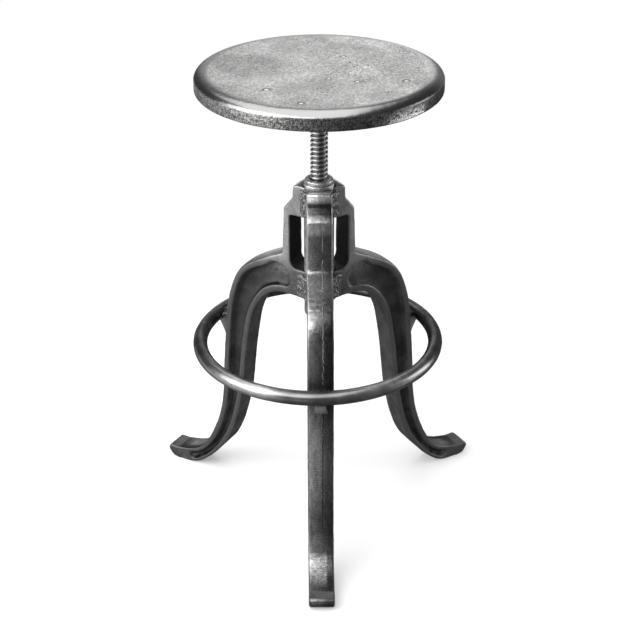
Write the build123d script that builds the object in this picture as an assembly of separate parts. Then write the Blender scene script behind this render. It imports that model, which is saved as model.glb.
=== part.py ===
from build123d import *
import math
import os

# Bar stool: a round cast seat on a coarse screw, which turns in a hub on three cast legs.
# Millimetres, +Z up, origin on the floor under the axis of the screw. The front leg points to -Y.

# Seat: a cast pan with a wide rounded edge
seat_radius = 178
seat_top_z = 741
seat_depth = 26.5
seat_wall = 8
rim_wall = 9
edge_round_width = 18
edge_round_drop = 10
rim_foot_round = 3
rim_root_round = 6
pad_radius = 66
pad_thickness = 5

# Flange under the seat, and its screws
flange_radius = 60
flange_thickness = 8
flange_boss_radius = 23
flange_boss_length = 20
flange_fillet = 6
screw_count = 6
screw_circle = 44
screw_radius = 4
screw_grip = 10
screw_hole_end = 1
screw_head_flats = 13
screw_head_height = 5.5
screw_clearance = 0.1
flange_weld_leg = 5

# Screw spindle and the loose washer on its lower end
spindle_radius = 13
thread_pitch = 7
turns_up = 7
spindle_tip_chamfer = 2
journal_radius = 8
washer_thickness = 5
washer_play = 0.2
washer_clearance = 0.15
bolt_radius = 5
bolt_length = 24
bolt_hole_end = 1
bolt_head_grip = 0.5
bolt_head_height = 6.5
running_clearance = 0.05
press_clearance = 0.02

# Leg castings in side view: r is the distance from the axis, angles are tangents in degrees
leg_sides = ["front", "right", "left"]
front_azimuth = -90
leg_width = 39
leg_edge_round = 2.5
weld_root_gap = 0.1
blade_height = 116
blade_shoulder_r = 35
blade_neck_r = 36
blade_neck_drop = 21
blade_step_r = 51.5
blade_step_drop = 40
blade_foot = (55, 448)
shoulder_round = 6
neck_round = 8
step_round = 9
blade_foot_round = 7
arch_angle = -26
arch_points = [(83, 434), (114, 416), (143, 380.5), (158.5, 318), (169.8, 178), (186.7, 98)]
arch_points += [(208, 54), (243, 27)]
apex = (52, 385)
apex_rise = 6
inner_points = [(90.6, 367), (117.6, 310), (131.5, 212), (151.8, 110), (185, 45), (222, 9), (237, 2)]
sole_lead = 13
sole_length = 16
toe_overhang = 22.5
toe_tip_z = 11
toe_height = 21
toe_nose = 7
toe_flat = 11

# Flutes in both sides of a leg
flute_lip = 6
flute_depth = 13
flute_draft = 3
flute_round = 2.5
flute_heel = (40, 399.3)

# Window between blade and sleeve
window_outer_r = 41.2
window_head = 50
window_height = 89
window_top_round = 4
window_foot_round = 14

# Hub sleeve, and the collar nut in its top
sleeve_cover = 0.1
sleeve_wall = 5.1
sleeve_tail = 27
sleeve_stand = 5
sleeve_chamfer = 1.5
nut_collar_radius = 21
nut_collar_height = 6
nut_collar_round = 1.5
nut_length = 46
nut_countersink = 1.5

# Welds in the three valleys of the hub, above and below the windows
upper_weld_reach = 22.5
lower_weld_reach = 28
weld_end_gap = 5

# Footrest ring, its lugs and their welds
ring_z = 306
ring_bar_radius = 11
ring_gap = 12.5
ring_joint_azimuth = 90
lug_height = 36
lug_saddle = 2
lug_foot_out = 3
lug_nose_out = 1
lug_nose_rise = 1
lug_foot_width = 22
lug_neck_width = 11
ring_weld_radius = 7.5
ring_weld_length = 26
ring_weld_end_round = 4
ring_weld_lift = 2.5

# Places that follow from the sizes above
leg_step = 360 / len(leg_sides)
blade_top_z = blade_foot[1] + blade_height
blade_neck = (blade_neck_r, blade_top_z - blade_neck_drop)
blade_step = (blade_step_r, blade_top_z - blade_step_drop)
ear_bottom_z = apex[1] - apex_rise
sole_start_r = inner_points[-1][0] + sole_lead
sole_end_r = sole_start_r + sole_length
toe_tip = (sole_end_r + toe_overhang, toe_tip_z)
toe_top = (toe_tip[0] - toe_nose, toe_height)
toe_crown = (toe_top[0] - toe_flat, toe_height)
window_top_z = blade_top_z - window_head
window_bottom_z = window_top_z - window_height
sleeve_radius = leg_width / 2 / math.sin(math.pi / len(leg_sides)) + sleeve_cover
sleeve_bore = sleeve_radius - sleeve_wall
sleeve_bottom_z = ear_bottom_z - sleeve_tail
sleeve_top_z = blade_top_z + sleeve_stand
plate_under_z = seat_top_z - seat_wall
pad_under_z = plate_under_z - pad_thickness
flange_under_z = pad_under_z - flange_thickness
boss_under_z = flange_under_z - flange_boss_length
nut_top_z = sleeve_top_z + nut_collar_height
nut_under_z = nut_top_z - nut_length
shoulder_z = nut_under_z - turns_up * thread_pitch
journal_end_z = shoulder_z - washer_thickness - 2 * washer_play
bolt_head_flats = 2 * (journal_radius + bolt_head_grip)
lug_bottom_z = ring_z - lug_height
lug_top_z = ring_z - lug_saddle
bar_under_z = ring_z - ring_bar_radius


def disc(radius, bottom, top):
    """Upright cylinder on the axis between two heights."""
    return Pos(0, 0, (bottom + top) / 2) * Cylinder(radius, top - bottom)


def hexagon(flats, bottom, top):
    """Upright hexagon head between two heights."""
    return Pos(0, 0, bottom) * extrude(RegularPolygon(flats / 2, 6, major_radius=False), top - bottom)


def circles_at(solid, z):
    """Circular edges of a solid at one height, the smallest first."""
    circles = solid.edges().filter_by(GeomType.CIRCLE).sort_by(SortBy.RADIUS)
    return [edge for edge in circles if abs(edge.center().Z - z) < 1e-6]


def corner(face, point):
    """Vertex of an outline at a point."""
    return face.vertices().sort_by_distance((point[0], point[1], 0))[0]


def rounded(face, rounds):
    """Outline with each named corner rounded to its own radius."""
    for point, radius in rounds:
        face = fillet(corner(face, point), radius)
    return face


def screw_places():
    """Places of the seat screws on their circle."""
    return PolarLocations(screw_circle, screw_count)


def make_seat_plate():
    """Cast pan: flat top, wide rounded edge, hollow underside with a raised pad for the flange."""
    flat_radius = seat_radius - edge_round_width
    side_top = seat_top_z - edge_round_drop
    rim_foot = seat_top_z - seat_depth
    inner_radius = seat_radius - rim_wall
    centre = (flat_radius, side_top)
    edge = EllipticalCenterArc(centre, edge_round_width, edge_round_drop, start_angle=0, arc_size=90)
    walls = Polyline(
        (seat_radius, side_top),
        (seat_radius, rim_foot),
        (inner_radius, rim_foot),
        (inner_radius, plate_under_z),
        (pad_radius, plate_under_z),
        (pad_radius, pad_under_z),
        (0, pad_under_z),
        (0, seat_top_z),
        (flat_radius, seat_top_z),
    )
    rounds = [
        ((seat_radius, rim_foot), rim_foot_round),
        ((inner_radius, rim_foot), rim_foot_round),
        ((inner_radius, plate_under_z), rim_root_round),
    ]
    seat = revolve(Plane.XZ * rounded(make_face([edge, walls]), rounds), Axis.Z)
    drill = Cylinder(screw_radius + screw_clearance, 2 * screw_grip)
    return seat - Pos(0, 0, pad_under_z) * screw_places() * drill


def make_seat_flange():
    """Round plate with a boss for the top of the screw spindle, drilled for the seat screws."""
    flange = disc(flange_radius, flange_under_z, pad_under_z)
    flange += disc(flange_boss_radius, boss_under_z, pad_under_z)
    flange = fillet(circles_at(flange, flange_under_z)[0], flange_fillet)
    flange -= disc(spindle_radius + press_clearance, boss_under_z, pad_under_z)
    drill = Cylinder(screw_radius + screw_clearance, 2 * flange_thickness)
    return flange - Pos(0, 0, flange_under_z) * screw_places() * drill


def make_seat_screws():
    """Hexagon screws through the flange into the pad of the seat."""
    shank_top = pad_under_z + screw_grip - screw_hole_end
    screw = disc(screw_radius, flange_under_z, shank_top)
    screw += hexagon(screw_head_flats, flange_under_z - screw_head_height, flange_under_z)
    return Compound(children=[place * screw for place in screw_places()])


def make_flange_weld():
    """Fillet bead round the spindle, under the flange boss."""
    inner = spindle_radius + press_clearance
    toe = inner + flange_weld_leg
    tail = boss_under_z - flange_weld_leg
    section = Polyline((inner, boss_under_z), (toe, boss_under_z), (inner, tail), close=True)
    return revolve(Plane.XZ * make_face(section), Axis.Z)


def make_spindle():
    """Screw spindle at its outside diameter, with a journal and a tapped hole at the lower end."""
    spindle = disc(spindle_radius, shoulder_z, pad_under_z)
    spindle = chamfer(circles_at(spindle, shoulder_z)[0], spindle_tip_chamfer)
    spindle += disc(journal_radius, journal_end_z, shoulder_z)
    hole_end = journal_end_z + bolt_length + bolt_hole_end
    return spindle - disc(bolt_radius + running_clearance, journal_end_z, hole_end)


def make_guide_washer():
    """Loose washer round the journal, a sliding fit in the sleeve."""
    top = shoulder_z - washer_play
    washer = disc(sleeve_bore - washer_clearance, top - washer_thickness, top)
    return washer - disc(journal_radius + running_clearance, top - washer_thickness, top)


def make_end_bolt():
    """Bolt in the lower end of the spindle, whose head holds the washer."""
    head = hexagon(bolt_head_flats, journal_end_z - bolt_head_height, journal_end_z)
    return head + disc(bolt_radius, journal_end_z, journal_end_z + bolt_length)


def make_hub_sleeve():
    """Tube that the legs are welded round."""
    sleeve = disc(sleeve_radius, sleeve_bottom_z, sleeve_top_z)
    sleeve = chamfer(sleeve.edges().filter_by(GeomType.CIRCLE), sleeve_chamfer)
    return sleeve - disc(sleeve_bore, sleeve_bottom_z, sleeve_top_z)


def make_spindle_nut():
    """Collar nut in the top of the sleeve, bored to the outside diameter of the thread."""
    nut = disc(nut_collar_radius, sleeve_top_z, nut_top_z)
    nut = fillet(circles_at(nut, nut_top_z)[0], nut_collar_round)
    nut += disc(sleeve_bore - press_clearance, nut_under_z, sleeve_top_z)
    nut -= disc(spindle_radius + running_clearance, nut_under_z, nut_top_z)
    return chamfer(circles_at(nut, nut_top_z)[0], nut_countersink)


def heading(degrees):
    """Unit vector in the side view."""
    return Vector(math.cos(math.radians(degrees)), math.sin(math.radians(degrees)))


def chain_angles(points, first_angle):
    """Tangent angle at each point of a run of arcs that continue one another."""
    angles = [first_angle]
    for here, there in zip(points, points[1:]):
        chord = math.degrees(math.atan2(there[1] - here[1], there[0] - here[0]))
        angles.append(2 * chord - angles[-1])
    return angles


def arc_chain(points, angles):
    """Tangent arcs through points with known tangent angles."""
    return [TangentArc(a, b, tangent=heading(t)) for a, b, t in zip(points, points[1:], angles)]


def moved_right(points, angles, distance):
    """Points of a run of arcs, moved to the right of its direction."""
    return [Vector(*p) + heading(t - 90) * distance for p, t in zip(points, angles)]


outer_points = [blade_foot] + arch_points + [toe_crown]
outer_angles = chain_angles(outer_points, arch_angle)
under_points = [apex] + inner_points
under_angles = chain_angles(under_points, 0)


def leg_outline():
    """Side view of a leg: stepped blade at the hub, arch, shank and upturned toe."""
    blade_top = [(0, ear_bottom_z), (0, blade_top_z), (blade_shoulder_r, blade_top_z)]
    blade = Polyline(*blade_top, blade_neck, blade_step, blade_foot)
    sole_start = (sole_start_r, 0)
    sole_end = (sole_end_r, 0)
    sole = TangentArc(under_points[-1], sole_start, tangent=heading(under_angles[-1]))
    nose = TangentArc(sole_end, toe_tip, tangent=(1, 0))
    edges = [blade] + arc_chain(outer_points, outer_angles)
    edges += [Line(toe_crown, toe_top), TangentArc(toe_tip, toe_top, tangent=nose % 1), nose]
    edges += [Line(sole_start, sole_end), sole] + arc_chain(under_points, under_angles)
    edges += [TangentArc(apex, (0, ear_bottom_z), tangent=(-1, 0))]
    rounds = [
        ((blade_shoulder_r, blade_top_z), shoulder_round),
        (blade_neck, neck_round),
        (blade_step, step_round),
        (blade_foot, blade_foot_round),
    ]
    return rounded(make_face(edges), rounds)


def flute_section(inset):
    """Outline of a flute, kept inside the leg's edges by the inset."""
    upper = moved_right(outer_points[1:-1], outer_angles[1:-1], inset)
    lower = moved_right(under_points, under_angles, -inset)
    heel = Vector(flute_heel[0] + inset - flute_lip, flute_heel[1])
    crown = TangentArc(upper[0], heel, tangent=heading(outer_angles[1] + 180))
    root = TangentArc(heel, lower[0], tangent=crown % 1)
    end = TangentArc(upper[-1], lower[-1], tangent=heading(outer_angles[-2]))
    arcs = arc_chain(upper, outer_angles[1:-1]) + [end]
    return make_face(arcs + arc_chain(lower, under_angles) + [root, crown])


def make_flute():
    """Cutter for the flute in one side of a leg, with drafted walls and a rounded floor."""
    floor_y = leg_width / 2 - flute_depth
    mouth = Plane.XZ.offset(-leg_width / 2) * flute_section(flute_lip)
    floor = Plane.XZ.offset(-floor_y) * flute_section(flute_lip + flute_draft)
    cutter = loft([floor, mouth], ruled=True)
    return fillet(cutter.faces().sort_by(Axis.Y)[0].edges(), flute_round)


def make_window():
    """Cutter for the window between blade and sleeve."""
    middle = (window_bottom_z + window_top_z) / 2
    face = Pos(window_outer_r / 2, middle) * Rectangle(window_outer_r, window_top_z - window_bottom_z)
    rounds = [
        ((window_outer_r, window_top_z), window_top_round),
        ((window_outer_r, window_bottom_z), window_foot_round),
    ]
    return extrude(Plane.XZ * rounded(face, rounds), leg_width, both=True)


def make_leg():
    """Leg casting along +X: fluted on both sides, windowed, and coped to the sleeve."""
    body = extrude(Plane.XZ * leg_outline(), leg_width / 2, both=True)
    sides = body.faces().sort_by(Axis.Y)
    body = fillet(sides[0].edges() + sides[-1].edges(), leg_edge_round)
    flute = make_flute()
    body = body - flute - mirror(flute, Plane.XZ) - make_window()
    return body - disc(sleeve_radius + weld_root_gap, 0, seat_top_z)


def make_hub_weld(reach, bottom, top):
    """Bead along +X that fills a valley between two legs, out to a reach along their faces."""
    half = leg_width / 2
    side = leg_step / 2
    toe = heading(side) * reach + heading(side - 90) * half
    root = Vector(half / math.sin(math.radians(side)), 0)
    face = make_face(Polyline(root, toe, Vector(toe.X, -toe.Y), close=True))
    return Pos(0, 0, bottom) * extrude(face, top - bottom) - disc(sleeve_radius, 0, seat_top_z)


def leg_face_r(z):
    """Distance of a leg's outer face from the axis at one height."""
    level = Line((0, z), (toe_tip[0], z))
    return max(vertex.X for vertex in (leg_outline() & level).vertices())


def make_footrest_ring(radius):
    """Round bar bent to a ring, with its joint away from the legs."""
    return Pos(0, 0, ring_z) * Rot(0, 0, ring_joint_azimuth) * Torus(radius, ring_bar_radius)


def make_ring_lug(leg, ring, ring_radius):
    """Wedge on the front of a leg, tapered towards the ring and saddled to it."""
    nose_r = ring_radius + lug_nose_out
    side = Polyline(
        (0, lug_bottom_z),
        (leg_face_r(lug_bottom_z) + lug_foot_out, lug_bottom_z),
        (nose_r, bar_under_z + lug_nose_rise),
        (nose_r, lug_top_z),
        (0, lug_top_z),
        close=True,
    )
    foot = lug_foot_width / 2
    neck = lug_neck_width / 2
    front = Polyline(
        (-foot, lug_bottom_z),
        (foot, lug_bottom_z),
        (neck, bar_under_z),
        (neck, lug_top_z),
        (-neck, lug_top_z),
        (-neck, bar_under_z),
        close=True,
    )
    wedge = extrude(Plane.XZ * make_face(side), foot, both=True)
    wedge &= extrude(Plane.YZ * make_face(front), ring_radius + ring_bar_radius)
    solids = (wedge - leg - ring).solids()
    return solids.sort_by(Axis.X)[-1]


def make_ring_weld(leg, ring, lug):
    """Bead laid on the lug between a leg and the ring."""
    bead = Cylinder(ring_weld_radius, ring_weld_length)
    bead = fillet(bead.edges().filter_by(GeomType.CIRCLE), ring_weld_end_round)
    middle_r = leg_face_r(ring_z) + ring_gap / 2
    return Pos(middle_r, 0, ring_z + ring_weld_lift) * Rot(90, 0, 0) * bead - ring - leg - lug


def build():
    """Every piece of the stool under its name, in place."""
    leg = make_leg()
    ring_radius = leg_face_r(ring_z) + ring_gap + ring_bar_radius
    ring = make_footrest_ring(ring_radius)
    lug = make_ring_lug(leg, ring, ring_radius)
    ring_weld = make_ring_weld(leg, ring, lug)
    pieces = {
        "seat_plate": make_seat_plate(),
        "seat_flange": make_seat_flange(),
        "seat_screws": make_seat_screws(),
        "flange_weld": make_flange_weld(),
        "spindle": make_spindle(),
        "guide_washer": make_guide_washer(),
        "end_bolt": make_end_bolt(),
        "hub_sleeve": make_hub_sleeve(),
        "spindle_nut": make_spindle_nut(),
        "footrest_ring": ring,
    }
    upper_weld = make_hub_weld(upper_weld_reach, window_top_z + weld_end_gap, blade_top_z - weld_end_gap)
    lower_weld = make_hub_weld(lower_weld_reach, ear_bottom_z + weld_end_gap, window_bottom_z - weld_end_gap)
    valleys = ["front_right", "back", "front_left"]
    for i, (side, valley) in enumerate(zip(leg_sides, valleys)):
        turn = Rot(0, 0, front_azimuth + i * leg_step)
        half_turn = turn * Rot(0, 0, leg_step / 2)
        pieces["leg_" + side] = turn * leg
        pieces["ring_lug_" + side] = turn * lug
        pieces["ring_weld_" + side] = turn * ring_weld
        pieces["upper_weld_" + valley] = half_turn * upper_weld
        pieces["lower_weld_" + valley] = half_turn * lower_weld
    return pieces


os.makedirs("parts", exist_ok=True)
for name, piece in build().items():
    export_step(piece, f"parts/{name}.step")
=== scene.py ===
import math
import bpy
import numpy as np
from mathutils import Matrix, Vector, noise


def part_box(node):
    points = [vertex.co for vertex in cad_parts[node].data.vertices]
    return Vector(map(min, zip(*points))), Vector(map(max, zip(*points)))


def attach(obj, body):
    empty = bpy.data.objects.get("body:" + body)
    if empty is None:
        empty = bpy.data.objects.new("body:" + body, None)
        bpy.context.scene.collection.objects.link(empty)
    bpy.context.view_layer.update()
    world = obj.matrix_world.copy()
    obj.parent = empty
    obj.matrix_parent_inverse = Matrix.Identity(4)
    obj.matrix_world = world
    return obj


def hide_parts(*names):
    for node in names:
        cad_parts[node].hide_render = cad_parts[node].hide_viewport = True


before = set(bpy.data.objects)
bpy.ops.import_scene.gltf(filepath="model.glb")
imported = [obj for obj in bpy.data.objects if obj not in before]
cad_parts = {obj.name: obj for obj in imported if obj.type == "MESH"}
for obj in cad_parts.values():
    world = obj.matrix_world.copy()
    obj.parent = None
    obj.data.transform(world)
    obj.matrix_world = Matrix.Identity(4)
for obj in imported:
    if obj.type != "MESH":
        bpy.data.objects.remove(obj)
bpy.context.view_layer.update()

MM = 0.001
origin = (0.0, 0.0, 0.0)

# Camera, matched to the photograph's perspective (metres, degrees)
camera_distance = 1.870
camera_height = 1.3675
camera_swing = 0.85
camera_tilt = 61.13
camera_lens_mm = 77.23
camera_sensor_mm = 36.0
camera_shift = 0.0014

# Studio (metres)
floor_reach = 30.0
# Centres of painted pools of light on the floor, seen in reflections
back_centre = (-0.3, 3.6, 0.0)
side_pool = (1.4, -0.15, 0.0)

# Leg castings: places on the solid, then how the cast skin departs from it (metres)
leg_azimuths = {"leg_front": -90, "leg_right": 30, "leg_left": 150}
leg_half_width = 19.5 * MM
hub_core_r = 24 * MM
hub_foot_z = 446 * MM
sole_end_r = 266 * MM
toe_tip_z = 11 * MM
window_bottom_z = 425 * MM
window_top_z = 514 * MM
window_outer_r = 41.2 * MM
leg_voxel = 1.25 * MM
cove_easing = 70
leg_crown = 1.6 * MM
leg_fullness = 2.1 * MM
hub_fullness = 0.7 * MM
belly_fullness = 2.6 * MM
arch_fullness = 3.5 * MM

# Bands up the outer faces of the legs: painted highlights where paler, painted shade where darker; height in
# millimetres, paleness
painted_light_bands = [
    (0, 0.7), (12, 0.8), (15, 1.6), (19, 1.8), (21.5, 0.6), (27, 0.8), (36, 1.4), (55, 2.1),
    (75, 1.2), (100, 1.1), (140, 2.3), (180, 3.2), (240, 2.2), (280, 1.1), (310, 0.7), (345, 0.8),
    (370, 0.9), (400, 0.6), (430, 2.6), (439, 2.2), (447, 0.9), (456, 0.8), (503, 0.8), (512, 2.2),
    (527, 2.2), (535, 0.45), (548, 0.4), (556, 6.0), (566, 7.0),
]

# Screw, nut, sleeve and welds (metres)
thread_pitch = 7 * MM
thread_depth = 2.1 * MM
journal_radius = 8 * MM
nut_bore = 13.05 * MM
sleeve_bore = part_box("guide_washer")[1].x + 0.15 * MM
end_round = 1.5 * MM
weld_voxel = 0.9 * MM

# Footrest ring: its bar, and how it hangs a little aside, low and out of level (metres, slopes)
ring_bar_radius = 11 * MM
ring_wave = 0.35 * MM
ring_aside = -2.2 * MM
ring_sag = -1.0 * MM
ring_roll = 0.006
ring_dip = -0.016

# Seat pan (metres)
seat_edge_width = 18 * MM
seat_edge_drop = 10 * MM
seat_wall = 8 * MM
rim_wall = 9 * MM
rim_round = 3 * MM
pad_radius = 66 * MM
pad_depth = 5 * MM
dimpled_spot = (0.055, -0.005, 0.741)

# Bare patch on the seat's side (degrees)
patch_azimuth = -49
patch_half_angle = 9
patch_fade = 4

# Dents in the seat's top: place, radius and depth in millimetres
seat_dents = [
    (36, 58, 8, 0.9),
    (-26, -138, 8, 0.8),
    (-73, -84, 9, 0.7),
    (52, -52, 7, 0.6),
    (-40, 30, 4, 0.4),
    (120, -50, 9, 0.7),
    (-120, 10, 4, 0.4),
    (13, -38, 6, 0.6),
    (95, -95, 5, 0.4),
    (16, 56, 4, 0.5),
]


# Shader and geometry graphs written as expressions

class Value:
    """A number on a node's socket: arithmetic on it adds Math nodes to its graph."""

    def __init__(self, graph, socket):
        self.graph = graph
        self.socket = socket

    def math(self, operation, other=0.0, swapped=False):
        first = other if swapped else self
        second = self if swapped else other
        return self.graph.add("ShaderNodeMath", {0: first, 1: second}, operation=operation)

    def __add__(self, other):
        return self.math("ADD", other)

    __radd__ = __add__

    def __sub__(self, other):
        return self.math("SUBTRACT", other)

    def __rsub__(self, other):
        return self.math("SUBTRACT", other, swapped=True)

    def __neg__(self):
        return 0 - self

    def __mul__(self, other):
        return self.math("MULTIPLY", other)

    __rmul__ = __mul__

    def __truediv__(self, other):
        return self.math("DIVIDE", other)

    def __gt__(self, other):
        return self.math("GREATER_THAN", other)

    def __lt__(self, other):
        return self.math("LESS_THAN", other)

    def __abs__(self):
        return self.math("ABSOLUTE")

    def lower(self, other):
        return self.math("MINIMUM", other)

    def upper(self, other):
        return self.math("MAXIMUM", other)

    def between(self, low, high):
        """Smooth step from 0 at low to 1 at high."""
        sockets = {"Value": self, "From Min": low, "From Max": high}
        return self.graph.add("ShaderNodeMapRange", sockets, interpolation_type="SMOOTHSTEP")

    def within(self, low, full_from, full_to, high):
        """Smooth band: 1 over its full stretch, 0 below low and above high."""
        return self.between(low, full_from) * (1 - self.between(full_to, high))


class Graph:
    """A node tree, with one method that adds any node."""

    def __init__(self, tree):
        self.tree = tree

    def add(self, kind, sockets=None, out=0, **settings):
        node = self.tree.nodes.new(kind)
        for key, value in settings.items():
            setattr(node, key, value)
        for key, value in (sockets or {}).items():
            if isinstance(value, Value):
                self.tree.links.new(value.socket, node.inputs[key])
            else:
                node.inputs[key].default_value = value
        return Value(self, node.outputs[out]) if node.outputs else node

    def noise(self, place, scale, detail=3.0, roughness=0.55):
        sockets = {"Vector": place, "Scale": scale, "Detail": detail, "Roughness": roughness}
        return self.add("ShaderNodeTexNoise", sockets)

    def cells(self, place, scale):
        return self.add("ShaderNodeTexVoronoi", {"Vector": place, "Scale": scale})

    def stretched(self, place, x, y, z):
        return self.add("ShaderNodeMapping", {"Vector": place, "Scale": (x, y, z)})

    def distance(self, place, spot):
        return self.add("ShaderNodeVectorMath", {0: place, 1: spot}, out="Value", operation="DISTANCE")

    def axis(self, place, i):
        return self.add("ShaderNodeSeparateXYZ", {0: place}, out=i)

    def attribute(self, name):
        return self.add("ShaderNodeAttribute", out="Fac", attribute_name=name)

    def object_place(self):
        return self.add("ShaderNodeTexCoord", out="Object")

    def bump(self, height, distance, strength):
        sockets = {"Height": height, "Distance": distance, "Strength": strength}
        return self.add("ShaderNodeBump", sockets)

    def grey(self, tone, warmth=0.0):
        """Colour of a tone, a little warm or cold."""
        return self.add("ShaderNodeCombineColor", {0: tone * (1 + warmth), 1: tone, 2: tone * (1 - warmth)})


def grey(value):
    return (value, value, value, 1.0)


def lerp(low, high, factor):
    return low + (high - low) * factor


def new_material(name):
    material = bpy.data.materials.new(name)
    material.use_nodes = True
    material.node_tree.nodes.clear()
    return material, Graph(material.node_tree)


def metal(graph, colour, roughness, normal, metallic=1.0):
    """Bare metal surface as the material's output."""
    sockets = {"Base Color": colour, "Roughness": roughness, "Metallic": metallic, "Normal": normal}
    shader = graph.add("ShaderNodeBsdfPrincipled", sockets)
    graph.add("ShaderNodeOutputMaterial", {"Surface": shader})


# Finishes

def pits_on_patch(g, place, patch):
    """Crumbly dark pits along the upper edge of the bare patch on the rim."""
    crumbs = 1 - g.cells(place, 210.0).between(0.25, 0.5)
    return crumbs * (1 - patch.between(0.55, 0.95))


def seat_finish():
    """Ground and waxed casting: pale pitted top, smooth rolled edge, dark grainy side, with painted light and
    shade on the top, dents, edge and side.
    """
    material, g = new_material("ground_casting")
    place = g.object_place()
    x = g.axis(place, 0)
    y = g.axis(place, 1)
    edge, side, patch, hollow = [g.attribute(label) for label in ("edge", "side", "patch", "dent")]
    blotch = g.noise(place, 11.0, 4.0, 0.6)
    mottle = g.noise(place, 230.0, 4.0, 0.7)
    leather = g.noise(g.stretched(place, 300.0, 170.0, 300.0), 1.0, 3.0, 0.6)
    grain = g.noise(place, 620.0, 4.0, 0.65)
    crust = (grain * 0.6 + mottle * 0.4).between(0.38, 0.62)
    dimpled = 1 - g.distance(place, dimpled_spot).between(0.012, 0.055)
    field = g.noise(place, 17.0, 2.0) + dimpled * 0.2
    pits = (1 - g.cells(place, 200.0).between(0.14, 0.34)) * field.between(0.5, 0.6) * (1 - edge)

    top = lerp(0.29, 0.62, (blotch * 0.6 + mottle * 0.4).between(0.34, 0.66))
    # Painted light: the top is made paler towards the right and the back.
    top = top * lerp(0.8, 1.22, leather.between(0.32, 0.68)) * (1.06 + x * 1.2 + y * 0.3)
    top = lerp(top, 0.05, pits * 0.85)
    # Painted shade and highlight in the dents: dark rims, pale centres.
    dent = hollow + (grain - 0.5) * 0.5
    painted_dent_shade_and_glint = lerp(0.08, 0.9, dent.between(0.6, 0.8))
    top = lerp(top, painted_dent_shade_and_glint, dent.between(0.15, 0.4) * 0.85)

    # Painted shade on the rolled edge, darker towards the right front and at the far left, and a painted
    # sheen at the back right.
    rear = y.between(-0.09, -0.02)
    painted_rim_shade = x.between(0.03, 0.085) * (1 - rear) * 0.45 + (-x).between(0.09, 0.155) * 0.5
    painted_rim_sheen = x.between(0.06, 0.14) * rear
    rolled = 0.28 - painted_rim_shade * 0.28 + painted_rim_sheen * 0.45
    # Painted light and shade on the side: paler left of the middle, darker at the far right.
    paleness_and_painted_light = (-x).within(0.03, 0.06, 0.09, 0.13)
    painted_flank_shade = x.between(0.11, 0.155)
    flank = lerp(0.02, 0.32, crust) * (1 + paleness_and_painted_light * 0.45 - painted_flank_shade * 0.6)

    bare = patch * (1 - pits_on_patch(g, place, patch))
    tone = lerp(lerp(top, rolled, edge), flank, side)
    tone = lerp(lerp(tone, 0.01, patch), 0.95, bare)
    roughness = lerp(0.36 + mottle * 0.1 + pits * 0.2, 0.26, edge) + side * (0.04 + crust * 0.12)
    roughness = lerp(roughness, 0.15, patch)
    relief = (grain - 0.5) * 0.2 + (leather - 0.5) * 1.1 * (0.5 + field) - pits * 1.2
    height = relief * (1 - edge + side)
    metal(g, g.grey(tone, 0.006), roughness, g.bump(height, 0.0011, 0.8))
    return material


def casting_seam(g, place, level, across, face):
    """Seam that wanders up a leg's outer face: a dark crack, with broken bright flash beside it higher up."""
    wander = (g.noise(g.stretched(place, 0.0, 0.0, 110.0), 1.0, 5.0, 0.8) - 0.5) * 11.0
    off = across - (level - 0.2) * 6.25 - 3.5 + wander
    broken = g.noise(g.stretched(place, 0.0, 0.0, 60.0), 1.0, 2.0).between(0.42, 0.52)
    higher = level.between(0.27, 0.32)
    reach = face * level.within(0.07, 0.1, 0.515, 0.525)
    crack = (1 - abs(off).between(0.35, 1.1)) * reach * broken.upper(1 - higher)
    flash = (1 - abs(off + 0.9).between(0.2, 0.7)) * reach * broken * higher
    return crack, flash


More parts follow.
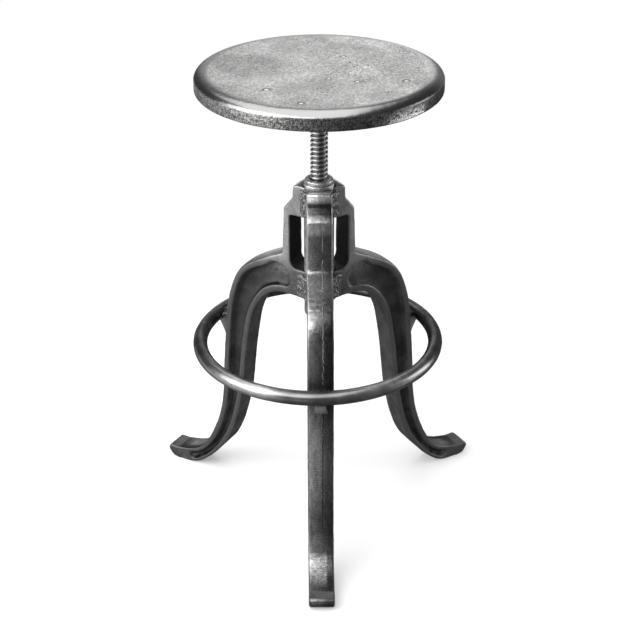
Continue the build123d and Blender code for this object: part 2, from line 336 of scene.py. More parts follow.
def leg_finish():
    """Dark waxed casting: pale where the hub was ground, black in the flutes, bright on worn edges, with
    painted highlights and shade on the outer faces and flute lips, and painted shade in the windows.
    """
    material, g = new_material("dark_casting")
    place = g.object_place()
    labels = ("wear", "flute", "bare", "window", "tone", "across", "face")
    wear, flute, bare, window, paleness_and_painted_light, across, face = [g.attribute(label) for label in labels]
    level = g.axis(place, 2)
    cloud = g.noise(place, 38.0, 5.0, 0.62)
    grit = g.noise(place, 380.0, 5.0, 0.7)
    sand = g.noise(place, 1400.0, 2.0, 0.6)
    streak = g.noise(g.stretched(place, 190.0, 190.0, 16.0), 1.0, 4.0, 0.65)

    skin = lerp(0.03, 0.10, (cloud * 0.5 + grit * 0.5).between(0.35, 0.65))
    streaked_face_with_painted_light = lerp(0.06, 0.12, grit.between(0.3, 0.7)) * lerp(0.75, 1.3, streak.between(0.3, 0.7))
    # Painted light across the outer face: paler towards one edge, darker towards the other.
    streaked_face_with_painted_light = streaked_face_with_painted_light * lerp(1.7, 0.45, across.between(-17.0, 15.0))
    ground = lerp(0.19, 0.4, (cloud * 0.4 + grit * 0.6).between(0.35, 0.65))
    ground = ground * lerp(1.0, 0.72, level.between(0.5, 0.54))
    # The tone attribute multiplies in the painted highlight and shade bands, and the lugs' paleness.
    tone = lerp(lerp(skin, streaked_face_with_painted_light, face), ground, bare) * paleness_and_painted_light

    out = g.distance(g.stretched(place, 1.0, 1.0, 0.0), origin)
    # Painted light: a pale grainy patch in the flutes near the hub, where lamp light falls into the arch.
    painted_flute_light = (1 - out.between(0.055, 0.105)) * level.between(0.39, 0.43) * grit.between(0.3, 0.6)
    # The flutes are darker than the rest of the casting.
    flute_tone = lerp(0.017, 0.048, (cloud * 0.6 + grit * 0.4).between(0.38, 0.66))
    tone = lerp(tone, flute_tone + painted_flute_light * 0.2, flute)
    # Wear on proud edges; the same mask also carries the painted highlight on the flute lips.
    edge_wear_and_lip_highlight = (wear + (grit - 0.5) * 0.2).between(0.62, 1.0)
    tone = lerp(tone, lerp(0.1, 0.36, bare), edge_wear_and_lip_highlight * (1 - flute * 0.8))
    # Painted highlight: a thin bright line along the lips beside the flutes.
    tone = lerp(tone, 0.2, edge_wear_and_lip_highlight * flute.within(0.05, 0.2, 0.5, 0.9))
    # Painted shade: the windows' inner walls are made near black.
    tone = lerp(tone, 0.016, window)

    # Painted highlight: a pale gleam at one edge of the outer face, partway up.
    gleam = (1 - across.between(-16.0, -5.0)) * level.within(0.35, 0.39, 0.425, 0.44) * face
    smear = across.within(-19.0, -15.0, 6.0, 10.0) * level.within(0.022, 0.027, 0.047, 0.051) * face
    smear = smear * (cloud * 0.4 + grit * 0.6).between(0.36, 0.6)
    hatch = (level * 2100.0).math("SINE").between(0.2, 0.8) * level.within(0.135, 0.145, 0.2, 0.21)
    hatch = hatch * across.within(-12.0, -10.0, -5.0, -3.0) * face
    crack, flash = casting_seam(g, place, level, across, face)
    tone = lerp(tone, 0.3, gleam * cloud.between(0.3, 0.55))
    tone = lerp(lerp(tone, 0.36, smear), 0.02, hatch * 0.6)
    tone = lerp(lerp(tone, 0.008, crack), 0.4, flash)

    roughness = lerp(0.44 + grit * 0.2 + flute * 0.1, 0.24 + grit * 0.14, face) - edge_wear_and_lip_highlight * 0.1
    metallic = (0.45 + bare * 0.35 + edge_wear_and_lip_highlight * 0.2).upper(face * 0.85)
    marks = g.noise(g.stretched(place, 25.0, 25.0, 420.0), 1.0, 3.0)
    height = lerp(grit * 0.7, marks * 0.7 + grit * 0.15, face) + sand * 0.3 - crack * 1.4 + flash
    metal(g, g.grey(tone, 0.004), roughness, g.bump(height, 0.0006, 0.6), metallic)
    return material


def sleeve_finish():
    """Rough bare steel of the hub sleeve and nut."""
    material, g = new_material("sleeve_steel")
    place = g.object_place()
    cloud = g.noise(place, 60.0, 4.0, 0.6)
    grit = g.noise(place, 420.0, 4.0, 0.7)
    turning = g.noise(g.stretched(place, 40.0, 40.0, 900.0), 1.0, 3.0)
    tone = lerp(0.3, 0.75, (cloud * 0.5 + grit * 0.5).between(0.34, 0.66))
    metal(g, g.grey(tone, 0.005), 0.34 + cloud * 0.2, g.bump(turning * 0.4 + grit, 0.0004, 0.5))
    return material


def spindle_finish():
    """Turned screw: pale thread crests and dark thread roots."""
    material, g = new_material("screw_steel")
    place = g.object_place()
    crest = g.attribute("crest")
    smear = g.noise(g.stretched(place, 60.0, 60.0, 220.0), 1.0, 4.0)
    tone = lerp(0.15, 0.62, (crest + (smear - 0.5) * 0.7).between(0.2, 0.75))
    metal(g, g.grey(tone, 0.006), 0.22 + smear * 0.2, g.bump(smear, 0.0003, 0.4))
    return material


def ring_finish():
    """Dark bar with a few pits; its front is rougher, with painted highlights left and right of the front
    leg, and painted shade in the middle of the front and round the back.
    """
    material, g = new_material("ring_steel")
    place = g.object_place()
    x = g.axis(place, 0)
    cloud = g.noise(place, 45.0, 4.0, 0.6)
    pits = (1 - g.cells(place, 120.0).between(0.08, 0.22)) * g.noise(place, 40.0).between(0.58, 0.66)
    # Painted highlights on the front of the bar, left and right of the front leg; the middle of the front and
    # the rest of the bar are painted darker.
    front_with_painted_highlight = (-g.axis(place, 1)).between(0.05, 0.17)
    painted_highlight_by_side = lerp(0.8, 1.55, (-x).between(0.045, 0.09)) + x.between(0.0, 0.06)
    tone = lerp(0.17, 0.26, cloud.between(0.3, 0.7)) * lerp(0.7, painted_highlight_by_side, front_with_painted_highlight)
    tone = lerp(tone, 0.02, pits)
    roughness = 0.2 + cloud * 0.14 + pits * 0.3 + front_with_painted_highlight * 0.08
    metal(g, g.grey(tone, 0.004), roughness, g.bump(cloud - pits, 0.0004, 0.35))
    return material


def weld_finish(name, bright):
    """Rough, dark bead with burnt specks and bright spatter."""
    material, g = new_material(name)
    place = g.object_place()
    crust = g.noise(place, 260.0, 5.0, 0.72)
    wear = g.attribute("wear")
    spatter = (1 - g.cells(place, 300.0).between(0.12, 0.32)) * g.noise(place, 90.0).between(0.44, 0.56)
    burnt = lerp(0.05 * bright, 0.42 * bright, (crust + wear * 0.2).between(0.42, 0.8))
    tone = lerp(burnt, 0.6, spatter * 0.8 * bright)
    metal(g, g.grey(tone, 0.01), 0.4 + crust * 0.25, g.bump(crust + spatter * 0.3, 0.0012, 0.8), 0.9)
    return material


def fastener_finish():
    """Plain steel of the seat's flange with its weld and screws, and of the hidden bolt and washer."""
    material, g = new_material("fastener_steel")
    place = g.object_place()
    cloud = g.noise(place, 130.0, 4.0, 0.6)
    tone = lerp(0.16, 0.38, cloud.between(0.3, 0.7))
    metal(g, g.grey(tone, 0.005), 0.3 + cloud * 0.25, g.bump(cloud, 0.0003, 0.4))
    return material


def dress(piece, material):
    """Give a new piece or a CAD node one finish."""
    if not piece.data.materials:
        piece.data.materials.append(material)
    for slot in piece.material_slots:
        slot.material = material


# Mesh helpers

def new_piece(name, mesh):
    piece = bpy.data.objects.new(name, mesh)
    bpy.context.scene.collection.objects.link(piece)
    return piece


def stands_for(piece, body, slot, *nodes):
    """Ride a finished piece on its body in place of CAD nodes."""
    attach(piece, body)
    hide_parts(*nodes)


def applied(piece):
    """Turn a piece's modifiers into plain mesh."""
    depsgraph = bpy.context.evaluated_depsgraph_get()
    mesh = bpy.data.meshes.new_from_object(piece.evaluated_get(depsgraph))
    piece.modifiers.clear()
    piece.data = mesh
    return mesh


def points_of(mesh):
    flat = np.empty(len(mesh.vertices) * 3)
    mesh.vertices.foreach_get("co", flat)
    return flat.reshape(-1, 3)


def normals_of(mesh):
    flat = np.empty(len(mesh.vertices) * 3)
    mesh.vertex_normals.foreach_get("vector", flat)
    return flat.reshape(-1, 3)


def edges_of(mesh):
    flat = np.empty(len(mesh.edges) * 2, dtype=np.int64)
    mesh.edges.foreach_get("vertices", flat)
    return flat.reshape(-1, 2)


def move_points(mesh, points):
    mesh.vertices.foreach_set("co", np.ascontiguousarray(points, dtype=np.float32).ravel())
    mesh.update()


def store(mesh, name, values):
    layer = mesh.attributes.new(name, "FLOAT", "POINT")
    layer.data.foreach_set("value", np.ascontiguousarray(values, dtype=np.float32))


def turned(azimuth):
    """Matrix of a turn about the screw's axis, in degrees."""
    return np.array(Matrix.Rotation(math.radians(azimuth), 3, "Z"))


def ramp(values, low, high):
    """Smooth step from 0 at low to 1 at high over an array."""
    t = np.clip((values - low) / (high - low), 0, 1)
    return t * t * (3 - 2 * t)


def neighbour_mean(field, edges):
    """Mean over each vertex's neighbours of a number or vector."""
    total = np.zeros_like(field)
    count = np.zeros(len(field))
    for here, there in ((0, 1), (1, 0)):
        np.add.at(total, edges[:, here], field[edges[:, there]])
        np.add.at(count, edges[:, here], 1)
    count = np.maximum(count, 1)
    return total / (count[:, None] if field.ndim == 2 else count)


def spread(field, edges, rings):
    """A field smoothed over a few rings of neighbours."""
    for _ in range(rings):
        field = 0.5 * field + 0.5 * neighbour_mean(field, edges)
    return field


def proud(points, normals, edges, reach):
    """How far each vertex stands out of the surface smoothed over a few rings, in metres."""
    flat = points
    for _ in range(reach):
        flat = neighbour_mean(flat, edges)
    return ((points - flat) * normals).sum(1)


def lumps(points, size, seed):
    """Smooth noise from -1 to 1 at points, with features of a given size."""
    shift = Vector((seed * 3.7, seed * 1.3, seed * 7.1))
    return np.array([noise.noise(Vector(p) / size + shift) for p in points])


def merged_copy(node):
    """Copy of a CAD node whose loose triangles a modifier joins."""
    piece = new_piece(node + "_skin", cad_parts[node].data.copy())
    weld = piece.modifiers.new("join", "WELD")
    weld.merge_threshold = 0.01 * MM
    return piece


def skinned(piece, voxel, smoothing):
    """Even out a piece into a dense skin with softened edges."""
    remesh = piece.modifiers.new("skin", "REMESH")
    remesh.mode = "VOXEL"
    remesh.voxel_size = voxel
    smooth = piece.modifiers.new("soften", "SMOOTH")
    smooth.factor = 0.5
    smooth.iterations = smoothing
    mesh = applied(piece)
    mesh.shade_smooth()
    return mesh


def resampled(corners, step):
    """Points along a profile, no further apart than a step."""
    points = [corners[0]]
    for here, there in zip(corners, corners[1:]):
        count = max(1, math.ceil(math.dist(here, there) / step))
        for i in range(1, count + 1):
            points.append(tuple(a + (b - a) * i / count for a, b in zip(here, there)))
    return points


def quarter(centre, width, height, start, count=5):
    """Quarter of an ellipse in a profile, by its start angle in degrees, turning clockwise."""
    angles = [math.radians(start - 90 * i / count) for i in range(count + 1)]
    return [(centre[0] + width * math.cos(a), centre[1] + height * math.sin(a)) for a in angles]


def spun(name, profile, segments):
    """Closed turned shape from a profile that begins and ends on the axis or closes on itself."""
    closed = math.dist(profile[0], profile[-1]) < 1e-9
    rings = np.array(profile[:-1] if closed else profile)
    angles = np.linspace(0, 2 * math.pi, segments, endpoint=False)
    points = []
    starts = []
    for radius, height in rings:
        starts.append(len(points))
        if radius < 1e-9:
            points.append((0.0, 0.0, height))
        else:
            points += [(radius * math.cos(a), radius * math.sin(a), height) for a in angles]
    faces = []
    pairs = list(zip(range(len(rings)), range(1, len(rings))))
    if closed:
        pairs.append((len(rings) - 1, 0))
    for a, b in pairs:
        for i in range(segments):
            j = (i + 1) % segments
            upper = (starts[a],) if rings[a][0] < 1e-9 else (starts[a] + i, starts[a] + j)
            lower = (starts[b],) if rings[b][0] < 1e-9 else (starts[b] + j, starts[b] + i)
            faces.append(upper[::-1] + lower[::-1])
    mesh = bpy.data.meshes.new(name)
    mesh.from_pydata(points, [], faces)
    mesh.shade_smooth()
    return new_piece(name, mesh)


# Geometry trees

def geometry_tree(name, inputs):
    """Empty geometry tree with named number inputs."""
    tree = bpy.data.node_groups.new(name, "GeometryNodeTree")
    tree.interface.new_socket("Geometry", in_out="OUTPUT", socket_type="NodeSocketGeometry")
    for label in inputs:
        tree.interface.new_socket(label, in_out="INPUT", socket_type="NodeSocketFloat")
    graph = Graph(tree)
    source = tree.nodes.new("NodeGroupInput")
    return tree, graph, {label: Value(graph, source.outputs[label]) for label in inputs}


def finish_tree(graph, geometry, material):
    """End a geometry tree in smooth, real, finished mesh."""
    geometry = graph.add("GeometryNodeSetShadeSmooth", {"Geometry": geometry})
    geometry = graph.add("GeometryNodeRealizeInstances", {"Geometry": geometry})
    geometry = graph.add("GeometryNodeSetMaterial", {"Geometry": geometry, "Material": material})
    output = graph.tree.nodes.new("NodeGroupOutput")
    graph.tree.links.new(geometry.socket, output.inputs[0])


def tree_piece(name, tree, sizes, material):
    """Plain mesh of a geometry tree, with its inputs set."""
    piece = new_piece(name, bpy.data.meshes.new(name))
    modifier = piece.modifiers.new("shape", "NODES")
    modifier.node_group = tree
    for item in tree.interface.items_tree:
        if item.in_out == "INPUT" and item.name in sizes:
            modifier[item.identifier] = sizes[item.name]
    applied(piece)
    dress(piece, material)
    return piece


# Pieces

class LegSkin:
    """Cast skin of a leg in the leg's own frame: x outwards, y across, z up."""

    def __init__(self, mesh, turn):
        self.mesh = mesh
        self.turn = turn
        self.edges = edges_of(mesh)
        self.points = points_of(mesh) @ turn
        self.normals = normals_of(mesh) @ turn
        self.radius, self.across, self.height = self.points.T.copy()
        self.sideways = np.abs(self.normals[:, 1])
        self.sunk = np.abs(self.across) < 0.9 * leg_half_width
        self.flute = self.blurred((self.sideways > 0.35) & self.sunk, 4)
        level = (self.height > window_bottom_z - 2 * MM) & (self.height < window_top_z + 2 * MM)
        inside = level & (self.radius < window_outer_r + 2 * MM) & (self.sideways < 0.5) & self.sunk
        self.window = self.blurred(inside, 3)
        self.hub = ramp(self.height, hub_foot_z - 30 * MM, hub_foot_z)

    def blurred(self, mask, rings):
        return spread(mask.astype(float), self.edges, rings)

    def ease_coves(self):
        """Ease the sharp flutes and the hub's foot into coves, and blunt the toe's nose."""
        cove = (self.sideways > 0.35) | (self.flute > 0.05)
        cove = cove & (np.abs(self.across) > 3 * MM)
        brow = (self.normals[:, 0] > 0.15) & (self.radius > hub_core_r)
        brow = brow & (np.abs(self.height - hub_foot_z) < 9 * MM)
        eased = 0.6 * self.blurred(self.sunk & (cove | brow), 1)[:, None]
        for _ in range(cove_easing):
            self.points = self.points + eased * (neighbour_mean(self.points, self.edges) - self.points)
        blunt = (self.radius > sole_end_r) & (self.height < toe_tip_z)
        nose = toe_tip_z * np.clip(self.height / toe_tip_z, 0, 1) ** 1.8
        self.points[:, 2] = np.where(blunt, nose, self.points[:, 2])
        move_points(self.mesh, self.points @ self.turn.T)
        self.normals = normals_of(self.mesh) @ self.turn

    def fields(self):
        """What the finish reads at each point: wear, place on the casting, and paleness with painted
        highlight and shade bands on the outer faces.
        """
        wear = np.clip(proud(self.points, self.normals, self.edges, 5) / (0.42 * MM), 0, 1)
        outward = (self.normals[:, 0] > 0.15) & (self.sideways < 0.6) & (self.radius > hub_core_r)
        face = self.blurred(outward, 3) * (1 - self.window) * (1 - self.flute)
        foot = ramp(self.height, hub_foot_z - 14 * MM, hub_foot_z - 6 * MM)
        foot = foot * (self.height < hub_foot_z + 10 * MM)
        heights, tones = zip(*painted_light_bands)
        return {
            "wear": wear * (1 - 0.9 * face * foot),
            "flute": self.flute,
            "bare": self.hub * (1 - face * 0.7),
            "window": self.window,
            # painted highlight and shade bands up the outer faces; the lugs store their own paleness here
            "tone": 1 + face * (np.interp(self.height / MM, heights, tones) - 1),
            "face": face,
            "across": self.across / MM,
        }

    def fill_out(self):
        """Make the outer faces fuller and crowned, and the inner faces and the arch's underside deeper."""
        smooth = spread(self.normals, self.edges, 14)
        smooth = smooth / np.linalg.norm(smooth, axis=1)[:, None]
        outer = ramp(smooth[:, 0], 0.1, 0.7) * (self.radius > hub_core_r)
        outer = outer * ramp(self.height, 30 * MM, 70 * MM) * (1 - self.window)
        crown = leg_crown * (self.across / leg_half_width) ** 2
        full = outer * (leg_fullness * (1 - self.hub) + hub_fullness * self.hub - crown)
        inner = ramp(-smooth[:, 0] - smooth[:, 2], 0.1, 0.7)
        inner = inner * ramp(self.height, 40 * MM, 70 * MM) * (1 - self.window)
        inner = inner * (1 - ramp(self.height, hub_foot_z - 25 * MM, hub_foot_z - 8 * MM))
        arch = ramp(self.height, 340 * MM, 400 * MM) * (1 - ramp(self.radius, 85 * MM, 125 * MM))
        belly = inner * (belly_fullness + arch_fullness * arch)
        self.points = self.points + full[:, None] * self.normals + belly[:, None] * smooth * (1, 0, 1)


def make_legs(material):
    """Cast skins over the three legs, each with its own unevenness and chipped edges."""
    pattern = merged_copy("leg_front")
    mesh = skinned(pattern, leg_voxel, 5)
    shape = LegSkin(mesh, turned(leg_azimuths["leg_front"]))
    shape.ease_coves()
    fields = shape.fields()
    shape.fill_out()
    points = shape.points
    coarse = 0.35 * MM + 0.2 * MM * shape.hub
    for seed, (node, azimuth) in enumerate(leg_azimuths.items()):
        uneven = coarse * lumps(points, 22 * MM, seed) + 0.2 * MM * lumps(points, 5 * MM, seed + 5)
        chips = 0.25 * MM * fields["wear"] * np.clip(lumps(points, 7 * MM, seed + 11), 0, 1)
        cast = (points + shape.normals * (uneven - chips)[:, None]) @ turned(azimuth).T
        cast[:, 2] = np.maximum(cast[:, 2], 0)
        skin = mesh.copy()
        move_points(skin, cast)
        for label, field in fields.items():
            store(skin, label, field)
        leg = new_piece(node + "_casting", skin)
        dress(leg, material)
        stands_for(leg, "base", "dark_casting", node)
    bpy.data.objects.remove(pattern)


def make_rough(node, material, slot, roughness, size, pale=1.0, sunk=0.0):
    """Lumpy skin over a weld bead or lug."""
    piece = merged_copy(node)
    mesh = skinned(piece, weld_voxel, 2)
    points = points_of(mesh)
    uneven = roughness * (lumps(points, size, 2) + 0.5 * lumps(points, size / 2.3, 9))
    points = points + normals_of(mesh) * uneven[:, None]
    points[:, 2] -= sunk * (points[:, 2] - points[:, 2].min())
    move_points(mesh, points)
    wear = proud(points, normals_of(mesh), edges_of(mesh), 4) / (0.35 * MM)
    store(mesh, "wear", np.clip(wear, 0, 1))
    store(mesh, "tone", np.full(len(points), pale))
    piece.name = node + "_bead" if slot == "weld_bead" else node + "_casting"
    dress(piece, material)
    stands_for(piece, "base", slot, node)


def make_spindle(material):
    """Right-hand coarse thread between a plain head end and the journal of the lower end."""
    low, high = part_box("spindle")
    around = 72
    rows_in_turn = 18
    rows = int((high.z - low.z) / thread_pitch * rows_in_turn)
    sizes = {
        "Bottom": low.z,
        "Top": high.z,
        "Radius": (high.x - low.x) / 2,
        "Pitch": thread_pitch,
        "Depth": thread_depth,
        "Journal": journal_radius,
        "Shoulder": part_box("guide_washer")[1].z + 0.2 * MM,
        "Run out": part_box("flange_weld")[0].z,
    }
    tree, g, size = geometry_tree("coarse_thread", sizes)
    grid = g.add("GeometryNodeMeshGrid", {"Vertices X": around + 1, "Vertices Y": rows + 1})
    spot = g.add("GeometryNodeInputPosition")
    turn = g.axis(spot, 0) + 0.5
    row = (g.axis(spot, 1) + 0.5) * rows
    inside = ((row - 1) / (rows - 2)).upper(0.0).lower(1.0)
    height = size["Bottom"] + inside * (size["Top"] - size["Bottom"])
    phase = (height / size["Pitch"] - turn) * (2 * math.pi)
    crest = (phase.math("COSINE") * 0.85 + 0.5).upper(0.0).lower(1.0)
    run_in = (height - size["Shoulder"]).between(0.0, 4 * MM)
    run_out = (size["Run out"] - height).between(0.0, 6 * MM)
    threaded = (1 - crest) * run_out
    reach = size["Radius"] - threaded * size["Depth"] - (1 - run_in) * 2 * MM * run_out
    below = height < size["Shoulder"]
    reach = reach * (1 - below) + size["Journal"] * below
    capped = (row > 0.5) * (row < rows - 0.5)
    angle = turn * (2 * math.pi)
    x = reach * capped * angle.math("COSINE")
    y = reach * capped * angle.math("SINE")
    bent = g.add("ShaderNodeCombineXYZ", {0: x, 1: y, 2: height})
    marked = g.add(
        "GeometryNodeStoreNamedAttribute",
        {"Geometry": grid, "Name": "crest", "Value": 1 - threaded},
        data_type="FLOAT",
        domain="POINT",
    )
    shaped = g.add("GeometryNodeSetPosition", {"Geometry": marked, "Position": bent})
    joined = g.add("GeometryNodeMergeByDistance", {"Geometry": shaped, "Distance": 0.005 * MM})
    finish_tree(g, joined, material)
    spindle = tree_piece("spindle_screw", tree, sizes, material)
    stands_for(spindle, "seat", "spindle_steel", "spindle")


def make_ring(material):
    """Footrest bar: a round ring with the slight flats and waves of a hand-bent bar."""
    low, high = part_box("footrest_ring")
    sizes = {
        "Ring radius": (high.x - low.x) / 2 - ring_bar_radius,
        "Bar radius": ring_bar_radius,
        "Height": (low.z + high.z) / 2,
        "Wave": ring_wave,
        "Aside": ring_aside,
        "Sag": ring_sag,
        "Roll": ring_roll,
        "Dip": ring_dip,
    }
    tree, g, size = geometry_tree("footrest_bar", sizes)
    path = g.add("GeometryNodeCurvePrimitiveCircle", {"Resolution": 300, "Radius": size["Ring radius"]})
    bar = g.add("GeometryNodeCurvePrimitiveCircle", {"Resolution": 36, "Radius": size["Bar radius"]})
    tube = g.add("GeometryNodeCurveToMesh", {"Curve": path, "Profile Curve": bar})
    spot = g.add("GeometryNodeInputPosition")
    normal = g.add("GeometryNodeInputNormal")
    wave = (g.noise(spot, 32.0, 2.0) - 0.5) * size["Wave"] * 2
    push = g.add("ShaderNodeVectorMath", {0: normal, "Scale": wave}, operation="SCALE")
    skew = size["Sag"] + g.axis(spot, 0) * size["Roll"] + g.axis(spot, 1) * size["Dip"]
    lift = g.add("ShaderNodeCombineXYZ", {0: size["Aside"], 2: size["Height"] + skew})
    offset = g.add("ShaderNodeVectorMath", {0: push, 1: lift}, operation="ADD")
    placed = g.add("GeometryNodeSetPosition", {"Geometry": tube, "Offset": offset})
    finish_tree(g, placed, material)
    ring = tree_piece("footrest_bar", tree, sizes, material)
    stands_for(ring, "base", "ring_steel", "footrest_ring")


def seat_profile(radius, top, foot):
    """Half section of the seat pan, from the middle of its top round to the middle of its pad."""
    flat = radius - seat_edge_width
    side = top - seat_edge_drop
    inner = radius - rim_wall
    under = top - seat_wall
    pad_under = under - pad_depth
    soft = rim_round
    corner = 0.2 * MM
    profile = resampled([(0.0, top), (flat, top)], 1.5 * MM)
    profile += quarter((flat, side), radius - flat, top - side, 90, 20)[1:]
    profile += quarter((radius - soft, foot + soft), soft, soft, 0)
    profile += quarter((inner + soft, foot + soft), soft, soft, -90)
    profile += resampled([(inner, under - 2 * soft), (inner - 0.6 * soft, under - 0.6 * soft)], 2 * MM)
    profile += resampled([(inner - 2 * soft, under), (pad_radius + 0.001 * MM, under)], 3 * MM)
    profile += resampled([(pad_radius, under - corner), (pad_radius, pad_under)], 2 * MM)
    profile += resampled([(pad_radius - corner, pad_under), (0.0, pad_under)], 3 * MM)
    return profile


def make_seat(material):
    """Cast seat pan: slightly uneven, dented flat top, rounded edge, hollow underside with its pad."""
    low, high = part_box("seat_plate")
    radius = high.x
    top = high.z
    flat = radius - seat_edge_width
    side = top - seat_edge_drop
    seat = spun("seat_pan", seat_profile(radius, top, low.z), 400)
    mesh = seat.data
    points = points_of(mesh)
    x, y, z = points.T
    out = np.hypot(x, y)
    uneven = 0.30 * MM * lumps(points, 60 * MM, 3) + 0.15 * MM * lumps(points, 7 * MM, 6)
    upward = z > top - 1 * MM
    dent = np.zeros(len(points))
    for dent_x, dent_y, size, depth in seat_dents:
        away = np.hypot(x - dent_x * MM, y - dent_y * MM)
        hollow = upward * (1 - ramp(away, 0, size * MM))
        uneven -= depth * MM * hollow
        dent = np.maximum(dent, hollow)
    aside = np.abs(np.degrees(np.arctan2(y, x)) - patch_azimuth)
    patch = 1 - ramp(aside, patch_half_angle, patch_half_angle + patch_fade)
    patch = patch * (out > flat) * (z > low.z) * (1 - ramp(z, side - 5 * MM, side - 1 * MM))
    store(mesh, "dent", dent)
    store(mesh, "patch", patch)
    store(mesh, "edge", ramp(out, flat - 5 * MM, flat + 5 * MM))
    store(mesh, "side", ramp(top - z, 0.6 * seat_edge_drop, seat_edge_drop))
    move_points(mesh, points + normals_of(mesh) * uneven[:, None])
    dress(seat, material)
    stands_for(seat, "seat", "seat_casting", "seat_plate")


def make_sleeve(material):
    """Hub sleeve with softened ends."""
    low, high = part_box("hub_sleeve")
    outer = high.x
    soft = end_round
    profile = [(sleeve_bore, high.z)]
    profile += quarter((outer - soft, high.z - soft), soft, soft, 90)
    profile += resampled([(outer, high.z - 2 * soft), (outer, low.z + 2 * soft)], 2 * MM)
    profile += quarter((outer - soft, low.z + soft), soft, soft, 0)
    profile += resampled([(sleeve_bore, low.z), (sleeve_bore, high.z)], 20 * MM)
    sleeve = spun("hub_sleeve_tube", profile, 160)
    points = points_of(sleeve.data)
    outside = np.hypot(points[:, 0], points[:, 1]) > sleeve_bore + 1 * MM
    rough = 0.22 * MM * lumps(points, 5 * MM, 4) * outside
    move_points(sleeve.data, points + normals_of(sleeve.data) * rough[:, None])
    dress(sleeve, material)
    stands_for(sleeve, "base", "sleeve_steel", "hub_sleeve")


def make_nut(material):
    """Collar nut with a rounded rim and a countersunk mouth."""
    low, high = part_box("spindle_nut")
    collar = high.x
    shank = sleeve_bore - 0.02 * MM
    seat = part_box("hub_sleeve")[1].z
    soft = end_round
    mouth = (nut_bore, high.z - soft)
    profile = [mouth, (nut_bore + soft, high.z)]
    profile += quarter((collar - soft, high.z - soft), soft, soft, 90)
    profile += [(collar, seat + 0.1 * MM), (shank, seat), (shank, low.z), (nut_bore, low.z), mouth]
    nut = spun("collar_nut", profile, 96)
    dress(nut, material)
    stands_for(nut, "base", "sleeve_steel", "spindle_nut")


# Stage, light and camera

def light_path(graph):
    """Which rays look straight, by reflection or through glass."""
    kinds = ("Camera", "Glossy", "Transmission")
    return [graph.add("ShaderNodeLightPath", out=f"Is {kind} Ray") for kind in kinds]


def make_stage():
    """White floor that keeps the stool's soft shadow. Metal sees painted pools of light on it: at the left,
    far back and in a small pool at the right.
    """
    mesh = bpy.data.meshes.new("floor")
    corners = [(-1, -1, 0), (1, -1, 0), (1, 1, 0), (-1, 1, 0)]
    mesh.from_pydata([Vector(corner) * floor_reach for corner in corners], [], [(0, 1, 2, 3)])
    floor = new_piece("floor", mesh)
    material, g = new_material("pale_floor")
    camera, glossy, clear = light_path(g)
    place = g.object_place()
    # Painted pools of light, seen only in reflections: the left side, a pool far back and a small pool at the
    # right for the seat's bare patch.
    left = (-g.axis(place, 0) - g.axis(place, 1).upper(-0.2) * 0.8).between(0.05, 1.0)
    back_pool = 1 - g.distance(place, back_centre).between(1.4, 2.2)
    right_pool = 1 - g.distance(place, side_pool).between(0.35, 0.6)
    lit = camera.upper(left).upper(back_pool.upper(right_pool))
    far = lerp(0.3, 1.0, g.distance(place, origin).between(0.5, 1.4))
    matte = g.add("ShaderNodeBsdfDiffuse", {"Color": grey(0.74)})
    glow = g.add("ShaderNodeEmission", {"Color": g.grey(lerp(0.1, 1.0, lit)), "Strength": 1.0})
    surface = g.add("ShaderNodeMixShader", {0: (camera * far).upper(glossy).upper(clear), 1: matte, 2: glow})
    g.add("ShaderNodeOutputMaterial", {"Surface": surface})
    dress(floor, material)


def make_world():
    """Soft room light. Metal sees a white backdrop behind, open at the left, in a dim room."""
    world = bpy.data.worlds.new("studio")
    world.use_nodes = True
    world.node_tree.nodes.clear()
    g = Graph(world.node_tree)
    camera, glossy, clear = light_path(g)
    way = g.add("ShaderNodeTexCoord", out="Generated")
    x, y, z = [g.axis(way, i) for i in range(3)]
    behind = y.between(0.3, 0.65) * x.within(-0.35, -0.1, 0.05, 0.28)
    lit = behind * (1 - z.between(0.3, 0.5))
    room = g.add("ShaderNodeBackground", {"Color": g.grey(0.58 - x * 0.1), "Strength": 1.0})
    backdrop = g.add("ShaderNodeBackground", {"Color": g.grey(lerp(0.12, 1.0, lit)), "Strength": 1.0})
    white = g.add("ShaderNodeBackground", {"Color": grey(1.0), "Strength": 1.0})
    mirrored = g.add("ShaderNodeMixShader", {0: glossy.upper(clear), 1: room, 2: backdrop})
    both = g.add("ShaderNodeMixShader", {0: camera, 1: mirrored, 2: white})
    g.add("ShaderNodeOutputWorld", {"Surface": both})
    bpy.context.scene.world = world


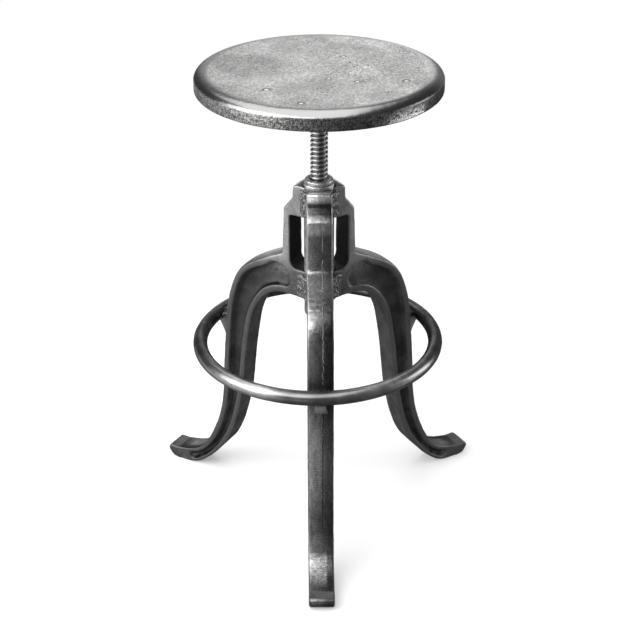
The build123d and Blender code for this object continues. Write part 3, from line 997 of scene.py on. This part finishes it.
def make_lamp(name, place, aim, width, height, power):
    """Soft box that shines from its place at an aim, unseen by the camera."""
    lamp = bpy.data.lights.new(name, "AREA")
    lamp.shape = "RECTANGLE"
    lamp.size = width
    lamp.size_y = height
    lamp.energy = power
    holder = bpy.data.objects.new(name, lamp)
    holder.location = place
    holder.rotation_euler = (Vector(aim) - Vector(place)).to_track_quat("-Z", "Y").to_euler()
    holder.visible_camera = False
    bpy.context.scene.collection.objects.link(holder)


def make_camera():
    """Camera at the photograph's viewing angle."""
    camera = bpy.data.cameras.new("camera")
    camera.lens = camera_lens_mm
    camera.sensor_width = camera_sensor_mm
    camera.shift_x = camera_shift
    camera.clip_start = 0.05
    holder = bpy.data.objects.new("camera", camera)
    swing = math.radians(camera_swing)
    holder.location = (-camera_distance * math.sin(swing), -camera_distance * math.cos(swing), camera_height)
    upright = Matrix.Rotation(-swing, 3, "Z") @ Matrix.Rotation(math.radians(camera_tilt), 3, "X")
    holder.rotation_euler = upright.to_euler()
    bpy.context.scene.collection.objects.link(holder)
    bpy.context.scene.camera = holder


def main():
    casting = leg_finish()
    sleeve = sleeve_finish()
    weld = weld_finish("weld_bead", 1.0)
    tack = weld_finish("ring_weld_bead", 0.35)
    fastener = fastener_finish()
    make_seat(seat_finish())
    make_legs(casting)
    make_spindle(spindle_finish())
    make_ring(ring_finish())
    make_sleeve(sleeve)
    make_nut(sleeve)
    for side in ("front", "right", "left"):
        make_rough("ring_lug_" + side, casting, "dark_casting", 0.4 * MM, 7 * MM, pale=2.2)
        make_rough("ring_weld_" + side, tack, "weld_bead", 0.5 * MM, 5 * MM, sunk=0.3)
    for valley in ("front_right", "back", "front_left"):
        for level in ("upper", "lower"):
            make_rough(f"{level}_weld_{valley}", weld, "weld_bead", 1.5 * MM, 5 * MM)
    for node in ("seat_flange", "flange_weld", "seat_screws", "guide_washer", "end_bolt"):
        dress(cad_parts[node], fastener)
    make_stage()
    make_world()
    make_lamp("top_box", (-0.3, 0.1, 2.5), (-0.3, 0.1, 0), 2.0, 4.0, 64)
    make_lamp("front_top", (-0.7, -1.95, 2.3), (0, 0, 0.5), 1.3, 0.4, 15)
    make_lamp("left_box", (-1.70, -0.76, 1.47), (0, 0, 0.3), 1.9, 2.3, 68)
    make_lamp("right_box", (2.1, 0.25, 0.75), (0, 0, 0.4), 0.9, 1.2, 13)
    make_camera()
    bpy.context.scene.view_settings.view_transform = "Standard"


main()
